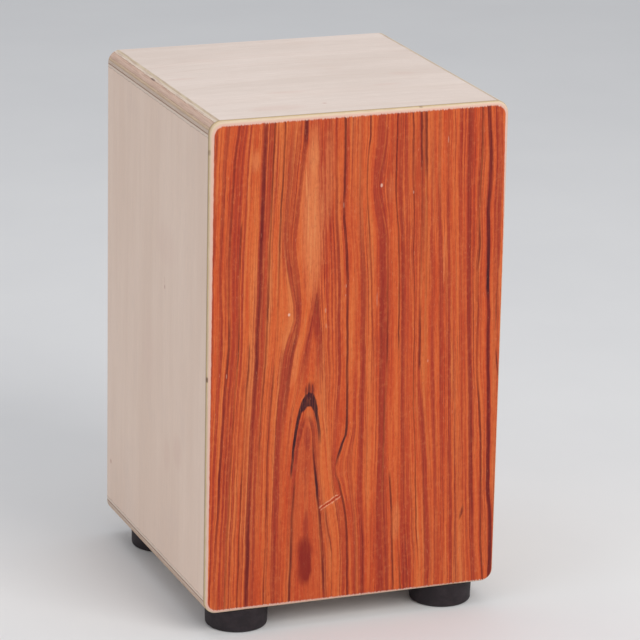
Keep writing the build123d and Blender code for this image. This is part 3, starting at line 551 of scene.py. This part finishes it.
# ------------------------------------------------------------------ plywood
def ply_material(name, axis, outer, sign, grain, seed, knots=(), pinks=(), tones=((224, 208, 198), (234, 219, 210))):
    """Panel ply. axis and outer give the outside face, sign +1 where the panel lies on its low side, and grain the face grain's axis."""
    g = Graph(name)
    p = {"x": g.x, "y": g.y, "z": g.z}
    depth = (outer - p[axis]) if sign > 0 else (p[axis] - outer)
    along = p[grain]
    cross = p[[k for k in "xyz" if k not in (axis, grain)][0]]
    # face veneer: fine pale birch
    drift = g.noise(cross * 0.020, along * 0.004, seed, 3.0, 0.55)
    bands = g.noise(cross * 0.10, along * 0.003, seed + 3.0, 3.0, 0.55)
    cloud = g.noise(cross * 0.018, along * 0.014, seed + 9.0, 2.0, 0.5, 0.4)
    fibre = g.noise(cross * 1.7, along * 0.05, seed + 5.0, 3.0, 0.65)
    face = g.mix(g.ramp(drift * 0.7 + bands * 0.3, 0.36, 0.64), lin(*tones[0]), lin(*tones[1]))
    face = g.mix(g.ramp(cloud, 0.54, 0.74, 0.0, 0.22), face, lin(223, 200, 187))
    face = g.mix(g.ramp(fibre, 0.38, 0.68, 0.30 if axis == "z" else 0.20, 0.0), face, lin(199, 180, 166))
    pores = g.noise(cross * 3.4, along * 0.13, seed + 7.0, 2.0, 0.6)
    face = g.mix(g.ramp(pores, 0.63, 0.75, 0.0, 0.34), face, lin(188, 160, 142))
    # faint cathedral lines
    bend = cross + (along * along) * (0.0011 if axis == "z" else 0.00012)
    arcs = g.noise(bend * 0.075, seed * 1.7, 0.0, 3.0, 0.6)
    face = g.mix(g.ramp((arcs - 0.5).abs(), 0.0, 0.035, 0.12 if axis == "z" else 0.05, 0.0), face, lin(208, 176, 158))
    for kc, ka, rc, ra, s in pinks:
        d = ((cross - kc) / rc) * ((cross - kc) / rc) + ((along - ka) / ra) * ((along - ka) / ra)
        face = g.mix(g.ramp(d, 0.0, 1.0, s * 0.55, 0.0), face, lin(214, 178, 164))
    for kc, ka, rc, ra, s in knots:
        d = ((cross - kc) / rc) * ((cross - kc) / rc) + ((along - ka) / ra) * ((along - ka) / ra)
        face = g.mix(g.ramp(d, 0.0, 1.0, s, 0.0), face, lin(176, 112, 96))

    # edge: the plies by depth, with torn boundaries and fibre along each ply
    run = g.y if axis != "y" else g.z
    torn = (g.noise(run * 0.09, depth * 0.35, seed + 2.0, 4.0, 0.7) - 0.5) * 2.2 * g.ramp(depth, 0.4, 2.4)
    torn = torn * g.ramp(depth, 8.0, 9.6, 1.0, 0.15)
    dd = ((depth + torn) / PLY).min(1.0).max(0.0)
    stops = [(0.0, lin(219, 205, 194)), (0.010, lin(206, 190, 162)), (0.042, lin(208, 190, 160)), (0.055, lin(220, 204, 186)), (0.130, lin(232, 214, 196)),
             (0.142, lin(172, 136, 118)), (0.175, lin(214, 180, 160)), (0.300, lin(220, 189, 170)), (0.490, lin(213, 180, 161)), (0.510, lin(176, 140, 112)), (0.540, lin(224, 198, 168)),
             (0.690, lin(201, 172, 142)), (0.710, lin(178, 148, 112)), (0.730, lin(209, 189, 172)), (0.930, lin(210, 192, 176)), (0.955, lin(192, 166, 128)), (1.0, lin(212, 194, 178))]
    plies = g.colours(dd, stops)
    streak = g.noise(run * 0.035, depth * 1.9, seed + 6.0, 4.0, 0.65)
    plies = g.mix(g.ramp(streak, 0.38, 0.56, 0.45, 0.0), plies, lin(164, 128, 112))
    plies = g.mix(g.ramp(g.noise(run * 0.06, depth * 0.9, seed + 16.0, 4.0, 0.7), 0.50, 0.66, 0.0, 0.55), plies, lin(220, 196, 178))
    ends = g.noise(run * 1.3, depth * 2.2, seed + 8.0, 2.0, 0.6)
    plies = g.mix(g.ramp(ends, 0.58, 0.72, 0.0, 0.28), plies, lin(150, 118, 100))
    is_edge = g.ramp(depth, 0.02, 0.10) * g.ramp(depth, PLY - 0.06, PLY - 0.01, 1.0, 0.0)
    c = g.mix(is_edge, face, plies)
    if axis == "z" and sign > 0:
        # a dark oval in the top panel's ply edge near its left end: painted shade for a void in the plies
        d = ((g.y - 29.0) / 8.0) * ((g.y - 29.0) / 8.0) + ((depth - 1.9) / 0.62) * ((depth - 1.9) / 0.62)
        ply_void_shade = g.ramp(d + (g.noise(g.y * 0.5, depth * 2.0, 1.0) - 0.5) * 1.2, 0.1, 1.1, 0.9, 0.0) * g.ramp(g.x, -120.0, -125.0)
        c = g.mix(ply_void_shade, c, lin(112, 84, 78))
    # glue lines where the panels meet each other, and painted shade where they meet the tapa
    for zj, down in ((Z_JOINT_TOP, -1.0), (Z_JOINT_LOW, 1.0)):
        wander = (g.noise(g.y * 0.12, zj * 0.01, 3.0, 3.0, 0.6) - 0.5) * 3.2
        rel = (g.z - zj) * down
        side = g.ramp(g.x.abs(), HALF_W - 0.9, HALF_W - 0.5)
        patchy = g.ramp(g.noise(g.y * 0.12, zj * 0.01, 9.0, 3.0, 0.65), 0.32, 0.62, 0.35, 1.0)
        c = g.mix(g.ramp((rel - 1.9 + wander * 0.3).abs(), 0.5, 1.5, 0.8, 0.0) * side, c, lin(222, 206, 190))
        c = g.mix(g.ramp((rel - 3.3 + wander).abs(), 0.15, 0.65, 0.7, 0.0) * side * patchy, c, lin(172, 140, 124))
        c = g.mix(g.ramp((rel + wander * 0.25).abs(), 0.40, 1.0, 0.85, 0.0) * side, c, lin(172, 138, 122))
    # a dark strip on the panels just behind the tapa: painted shade in the seam between tapa and body
    front = g.ramp(g.y + (-Y_JOINT), 0.42, 0.75, 0.85, 0.0)
    c = g.mix(front, c, lin(122, 100, 82))
    rough = g.ramp(fibre, 0.2, 0.8, 0.46, 0.62)
    height = fibre * 0.5 + pores * 0.4 + ends * is_edge * 0.8 - streak * is_edge * 0.6
    return g.finish(c, rough, height, strength=0.14, distance=0.00012, spec=0.25)


def back_material():
    g = Graph("back_ply")
    depth = Y_REAR - g.y
    drift = g.noise(g.x * 0.05, g.z * 0.004, 81.0, 3.0, 0.6)
    fibre = g.noise(g.x * 1.7, g.z * 0.05, 83.0, 3.0, 0.65)
    cloud = g.noise(g.x * 0.020, g.z * 0.006, 85.0, 2.0, 0.5, 0.15)
    face = g.mix(g.ramp(drift, 0.36, 0.64), lin(212, 194, 178), lin(226, 210, 196))
    face = g.mix(g.ramp(cloud, 0.50, 0.70, 0.0, 0.45), face, lin(216, 190, 172))
    face = g.mix(g.ramp(fibre, 0.38, 0.68, 0.34, 0.0), face, lin(196, 174, 156))
    bend = g.x + (g.z - 250.0) * (g.z - 250.0) * 0.00008
    arcs = g.noise(bend * 0.07, 5.5, 0.0, 3.0, 0.6)
    face = g.mix(g.ramp((arcs - 0.5).abs(), 0.0, 0.03, 0.18, 0.0), face, lin(204, 172, 152))
    dd = (depth / 5.0).min(1.0).max(0.0)
    plies = g.colours(dd, [(0.0, lin(214, 196, 178)), (0.16, lin(212, 192, 172)), (0.19, lin(160, 128, 96)), (0.22, lin(190, 160, 132)), (0.44, lin(186, 156, 130)),
                           (0.47, lin(150, 120, 92)), (0.50, lin(214, 194, 172)), (0.76, lin(210, 190, 168)), (0.79, lin(160, 128, 96)), (0.82, lin(204, 182, 160)), (1.0, lin(212, 194, 176))])
    is_edge = g.ramp(depth, 0.04, 0.14) * g.ramp(depth, 4.94, 4.99, 1.0, 0.0)
    c = g.mix(is_edge, face, plies)
    # painted shade on the back panel's edges close to its rear face, where it sits in the body's rabbet
    edge = g.ramp(g.x.abs(), 140.55, 140.95).max(g.ramp((g.z - (Z_LOW + Z_TOP) * 0.5).abs(), 231.55, 231.95)) * g.ramp(depth, 1.2, 0.4)
    c = g.mix(edge * 0.8, c, lin(120, 96, 78))
    return g.finish(c, g.ramp(fibre, 0.2, 0.8, 0.5, 0.64), fibre, strength=0.14, distance=0.00012, spec=0.25)


def core_material():
    g = Graph("face_core")
    d = g.y - Y_FRONT
    fib = g.noise(g.x * 0.09, g.z * 0.09, d * 1.6, 4.0, 0.65)
    c = g.colours((d / 3.6).min(1.0).max(0.0), [(0.0, lin(228, 190, 172)), (0.16, lin(226, 192, 172)), (0.20, lin(224, 204, 176)), (0.42, lin(220, 200, 170)), (0.45, lin(176, 146, 104)),
                                      (0.49, lin(206, 182, 140)), (0.74, lin(198, 172, 130)), (0.77, lin(168, 138, 96)), (0.81, lin(214, 192, 160)), (0.93, lin(206, 184, 152)), (0.97, lin(126, 102, 82)), (1.0, lin(206, 188, 168))])
    c = g.mix(g.ramp(fib, 0.36, 0.66, 0.30, 0.0), c, lin(170, 136, 98))
    inner = g.ramp(d, 3.50, 3.58)
    grain = g.noise(g.x * 0.06, g.z * 0.003, 121.0, 3.0, 0.6)
    fibre = g.noise(g.x * 1.8, g.z * 0.05, 123.0, 3.0, 0.65)
    arcs = g.noise((g.x + (g.z - 250.0) * (g.z - 250.0) * 0.0001) * 0.09, 2.5, 0.0, 3.0, 0.6)
    leaf = g.mix(g.ramp(grain, 0.36, 0.64), lin(211, 190, 170), lin(227, 210, 193))
    leaf = g.mix(g.ramp((arcs - 0.5).abs(), 0.0, 0.04, 0.3, 0.0), leaf, lin(200, 168, 144))
    leaf = g.mix(g.ramp(fibre, 0.38, 0.68, 0.35, 0.0), leaf, lin(188, 162, 140))
    c = g.mix(inner, c, leaf)
    # two small dark flecks in the edge, one on the left and one on top
    for fx, fz in ((-147.0, 255.0), (59.0, 499.5), (-147.0, 471.0)):
        dd = ((g.x - fx) / (1.4 if fx < 0 else 2.4)) * ((g.x - fx) / (1.4 if fx < 0 else 2.4)) + ((g.z - fz) / (3.4 if fx < 0 else 1.2)) * ((g.z - fz) / (3.4 if fx < 0 else 1.2))
        c = g.mix(g.ramp(dd, 0.1, 1.0, 0.75 if fz == 255.0 else 0.4, 0.0), c, lin(104, 74, 56))
    return g.finish(c, g.ramp(fib, 0.3, 0.7, 0.48, 0.6), fib + inner * fibre * 0.6, strength=0.12, distance=0.0001, spec=0.25)


# ------------------------------------------------------------------ smaller materials
def solid_wood(name, grain, a, b, dark, seed, flecks=False):
    g = Graph(name)
    p = {"x": g.x, "y": g.y, "z": g.z}
    along = p[grain]
    q, r = [p[k] for k in "xyz" if k != grain]
    rings = g.noise(q * 0.22, r * 0.22, along * 0.004 + seed, 3.0, 0.5)
    lines = g.m("FRACT", rings * 9.0)
    fibre = g.noise(q * 2.4, r * 2.4, along * 0.06 + seed, 3.0, 0.6)
    c = g.mix(g.ramp(lines, 0.0, 0.85), a, b)
    c = g.mix(g.ramp(fibre, 0.40, 0.66, 0.35, 0.0), c, dark)
    if flecks:
        f = g.noise(q * 1.4, r * 1.4, along * 0.35 + seed, 2.0, 0.5)
        c = g.mix(g.ramp(f, 0.62, 0.70, 0.0, 0.6), c, dark)
    return g.finish(c, g.ramp(fibre, 0.2, 0.8, 0.55, 0.72), fibre, strength=0.2, distance=0.0002, spec=0.2)


def rubber_material():
    g = Graph("foot_rubber")
    grain = g.noise(g.x * 2.6, g.y * 2.6, g.z * 2.6, 3.0, 0.65)
    bloom = g.noise(g.x * 0.08, g.y * 0.08, g.z * 0.12, 3.0, 0.6)
    c = g.mix(g.ramp(bloom, 0.35, 0.70), lin(34, 27, 31), lin(47, 38, 42))
    worn = g.ramp(g.z, 3.2, 0.6)
    c = g.mix(worn * g.ramp(grain, 0.4, 0.65) * 0.5, c, lin(78, 69, 68))
    return g.finish(c, g.ramp(grain, 0.3, 0.7, 0.55, 0.78), grain, strength=0.25, distance=0.0002, spec=0.35)


def steel_material(name, tint, rough_lo, rough_hi, scale=0.6):
    g = Graph(name)
    patch = g.noise(g.x * scale, g.y * scale, g.z * scale, 3.0, 0.6)
    scratch = g.noise(g.x * 0.4, g.y * 6.0, g.z * 6.0, 2.0, 0.6)
    c = g.mix(g.ramp(patch, 0.35, 0.65), tint, lin(204, 204, 200))
    c = g.mix(g.ramp(scratch, 0.60, 0.75, 0.0, 0.3), c, lin(120, 120, 122))
    return g.finish(c, g.ramp(patch * 0.6 + scratch * 0.4, 0.3, 0.7, rough_lo, rough_hi), scratch, strength=0.06, distance=0.00008, spec=0.5, metal=1.0)


def felt_material():
    g = Graph("felt")
    fuzz = g.noise(g.x * 3.0, g.y * 3.0, g.z * 3.0, 4.0, 0.75)
    c = g.mix(g.ramp(fuzz, 0.35, 0.65), lin(58, 60, 66), lin(104, 106, 112))
    return g.finish(c, g.ramp(fuzz, 0.3, 0.7, 0.85, 1.0), fuzz, strength=0.8, distance=0.0004, spec=0.1)


def paint(node, mat):
    o = NODES[node]
    if not o.material_slots:
        o.data.materials.append(mat)
    for s in o.material_slots:
        s.material = mat


paint("tapa_veneer", veneer_material())
paint("tapa_core", core_material())
# painted light: the side panels are the same ply as the top but get a warmer tone, to match how the light falls on them
SIDE_TONES_WITH_PAINTED_LIGHT = ((232, 206, 188), (238, 214, 197))
paint("top_panel", ply_material("top_ply", "z", Z_TOP, 1, "x", 12.0, knots=[(-112.0, -22.0, 2.2, 3.0, 0.4)],
                                pinks=[(-62.0, -40.0, 5.0, 26.0, 0.40), (-58.0, 62.0, 5.0, 20.0, 0.35), (15.0, -118.0, 5.0, 18.0, 0.35), (-118.0, -70.0, 14.0, 34.0, 0.35), (-20.0, 92.0, 10.0, 16.0, 0.30)]))
paint("bottom_panel", ply_material("bottom_ply", "z", Z_LOW, -1, "x", 31.0))
paint("left_side_panel", ply_material("left_ply", "x", -HALF_W, -1, "z", 47.0, knots=[(-27.0, 310.0, 1.3, 3.0, 0.75), (138.0, 80.0, 3.0, 3.2, 0.45), (-26.0, 316.0, 1.0, 5.0, 0.25)],
                                      pinks=[(-68.0, 158.0, 16.0, 22.0, 0.45), (-36.0, 145.0, 13.0, 22.0, 0.30), (20.0, 230.0, 22.0, 60.0, 0.22), (-30.0, 352.0, 40.0, 26.0, 0.25)], tones=SIDE_TONES_WITH_PAINTED_LIGHT))
paint("right_side_panel", ply_material("right_ply", "x", HALF_W, 1, "z", 63.0, tones=SIDE_TONES_WITH_PAINTED_LIGHT))
paint("back_panel", back_material())
block_y = solid_wood("spruce_block", "y", lin(222, 190, 140), lin(206, 166, 112), lin(176, 132, 84), 4.0)
for n in ("corner_block_top_left", "corner_block_top_right", "corner_block_bottom_left", "corner_block_bottom_right"):
    paint(n, block_y)
block_z = solid_wood("snare_block", "z", lin(214, 180, 132), lin(200, 160, 110), lin(170, 128, 84), 14.0)
beech = solid_wood("beech", "x", lin(214, 172, 136), lin(202, 156, 120), lin(150, 104, 74), 24.0, flecks=True)
for n in ("snare_block_left", "snare_block_right"):
    paint(n, block_z)
for n in ("snare_beam", "pivot_dowel_left", "pivot_dowel_right"):
    paint(n, beech)
zinc = steel_material("zinc_steel", lin(176, 178, 182), 0.28, 0.48)
for n in ("snare_clip_left", "snare_clip_right", "clip_screws", "foot_washers", "foot_screws"):
    paint(n, zinc)
rubber = rubber_material()
for n in ("foot_front_left", "foot_front_right", "foot_rear_left", "foot_rear_right"):
    paint(n, rubber)
felt = felt_material()
for n in ("felt_washer_left", "felt_washer_right"):
    paint(n, felt)


# ------------------------------------------------------------------ coiled snare wires
LEAN, AXIS_Y, AXIS_Z = math.radians(1.65), -128.5, 300.0
STRANDS, PITCH, R_OUT, WIRE = 10, 3.2, 1.1, 0.22
TOP, LOW, COIL_PITCH = 164.0, -5.1, 1.5
wire_mat = steel_material("snare_wire", lin(190, 190, 192), 0.20, 0.34, 0.9)


def coils(side, s):
    verts, faces = [], []
    turn = Matrix.Translation((0, AXIS_Y, AXIS_Z)) @ Matrix.Rotation(LEAN, 4, "X")
    fan = Matrix.Translation((s * 60.0, -10.0, 0)) @ Matrix.Rotation(math.radians(8.0 * s), 4, "Y")
    per, sides = 12, 5
    for i in range(STRANDS):
        x0 = (i - (STRANDS - 1) / 2) * PITCH
        turns = (TOP - LOW - 2 * WIRE) / COIL_PITCH
        n = int(turns * per) + 1
        t = np.arange(n) / per * 2 * math.pi + i * 0.9
        rad = R_OUT - WIRE
        c = np.stack([x0 + rad * np.cos(t), -2.2 + rad * np.sin(t), LOW + WIRE + (t - t[0]) / (2 * math.pi) * COIL_PITCH], 1)
        tan = np.stack([-rad * np.sin(t), rad * np.cos(t), np.full(n, COIL_PITCH / (2 * math.pi))], 1)
        tan /= np.linalg.norm(tan, axis=1, keepdims=True)
        out = np.stack([np.cos(t), np.sin(t), np.zeros(n)], 1)
        bi = np.cross(tan, out)
        base = len(verts)
        M = np.array(turn @ fan)
        for k in range(sides):
            a = 2 * math.pi * k / sides
            ring = c + WIRE * (math.cos(a) * out + math.sin(a) * bi)
            ring = (ring @ M[:3, :3].T + M[:3, 3]) * 0.001
            verts.extend(ring.tolist())
        for j in range(n - 1):
            for k in range(sides):
                k2 = (k + 1) % sides
                faces.append((base + k * n + j, base + k2 * n + j, base + k2 * n + j + 1, base + k * n + j + 1))
        faces.append(tuple(base + k * n for k in reversed(range(sides))))
        faces.append(tuple(base + k * n + n - 1 for k in range(sides)))
    me = bpy.data.meshes.new("snare_coils_" + side)
    me.from_pydata(verts, [], faces)
    me.update()
    for poly in me.polygons:
        poly.use_smooth = True
    o = bpy.data.objects.new("snare_coils_" + side, me)
    bpy.context.scene.collection.objects.link(o)
    o.data.materials.append(wire_mat)
    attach(o, "snare")
    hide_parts("snare_strands_" + side)
    return o


coils("left", -1)
coils("right", 1)

# ------------------------------------------------------------------ floor, light and camera
me = bpy.data.meshes.new("floor")
S = 30.0
me.from_pydata([(-S, -S, -1e-4), (S, -S, -1e-4), (S, S, -1e-4), (-S, S, -1e-4)], [], [(0, 1, 2, 3)])
floor = bpy.data.objects.new("floor", me)
bpy.context.scene.collection.objects.link(floor)
g = Graph("floor")
speck = g.noise(g.x * 0.004, g.y * 0.004, 0.0, 3.0, 0.6)
floor.data.materials.append(g.finish(g.mix(speck, lin(226, 226, 227), lin(233, 233, 233)), g.ramp(speck, 0.3, 0.7, 0.75, 0.9), spec=0.15))

world = bpy.data.worlds.new("studio")
bpy.context.scene.world = world
world.use_nodes = True
world.node_tree.nodes["Background"].inputs[0].default_value = (0.94, 0.96, 1.0, 1.0)
world.node_tree.nodes["Background"].inputs[1].default_value = 0.56


def softbox(name, place, aim, size, power, colour=(1, 1, 1)):
    d = bpy.data.lights.new(name, "AREA")
    d.shape, d.size, d.size_y = "RECTANGLE", size[0], size[1]
    d.energy, d.color = power, colour
    o = bpy.data.objects.new(name, d)
    bpy.context.scene.collection.objects.link(o)
    o.location = place
    o.rotation_euler = (Vector(aim) - Vector(place)).to_track_quat("-Z", "Y").to_euler()


softbox("key", (1.0, -2.4, 2.2), (0, 0, 0.25), (1.8, 1.8), 47.0, (1.0, 0.98, 0.95))
softbox("fill", (-2.6, -0.9, 1.3), (0, 0, 0.25), (1.6, 1.6), 9.5)
softbox("top", (0.0, 0.3, 2.8), (0, 0, 0.3), (2.2, 2.2), 13.6)

cam = bpy.data.cameras.new("camera")
cam.lens = 205.329
cam.sensor_width = 36.0
cam.clip_start, cam.clip_end = 0.05, 100.0
camera = bpy.data.objects.new("camera", cam)
bpy.context.scene.collection.objects.link(camera)
k = 295.0 / 300.0
yaw, pitch, roll = 0.370443321, -0.298353504, 0.0201516178
fwd = Vector((math.sin(yaw) * math.cos(pitch), math.cos(yaw) * math.cos(pitch), math.sin(pitch)))
right = Vector((math.cos(yaw), -math.sin(yaw), 0.0))
up = right.cross(fwd)
r2 = right * math.cos(roll) + up * math.sin(roll)
u2 = up * math.cos(roll) - right * math.sin(roll)
rot = Matrix((r2, u2, -fwd)).transposed()
place = Vector((-1229.32541 * k, -3071.82636 * k + Y_JOINT, 1297.24628 * k + Z_LOW)) * 0.001
camera.matrix_world = Matrix.Translation(place) @ rot.to_4x4()
bpy.context.scene.camera = camera
bpy.context.scene.view_settings.view_transform = "Standard"
bpy.context.scene.view_settings.look = "None"
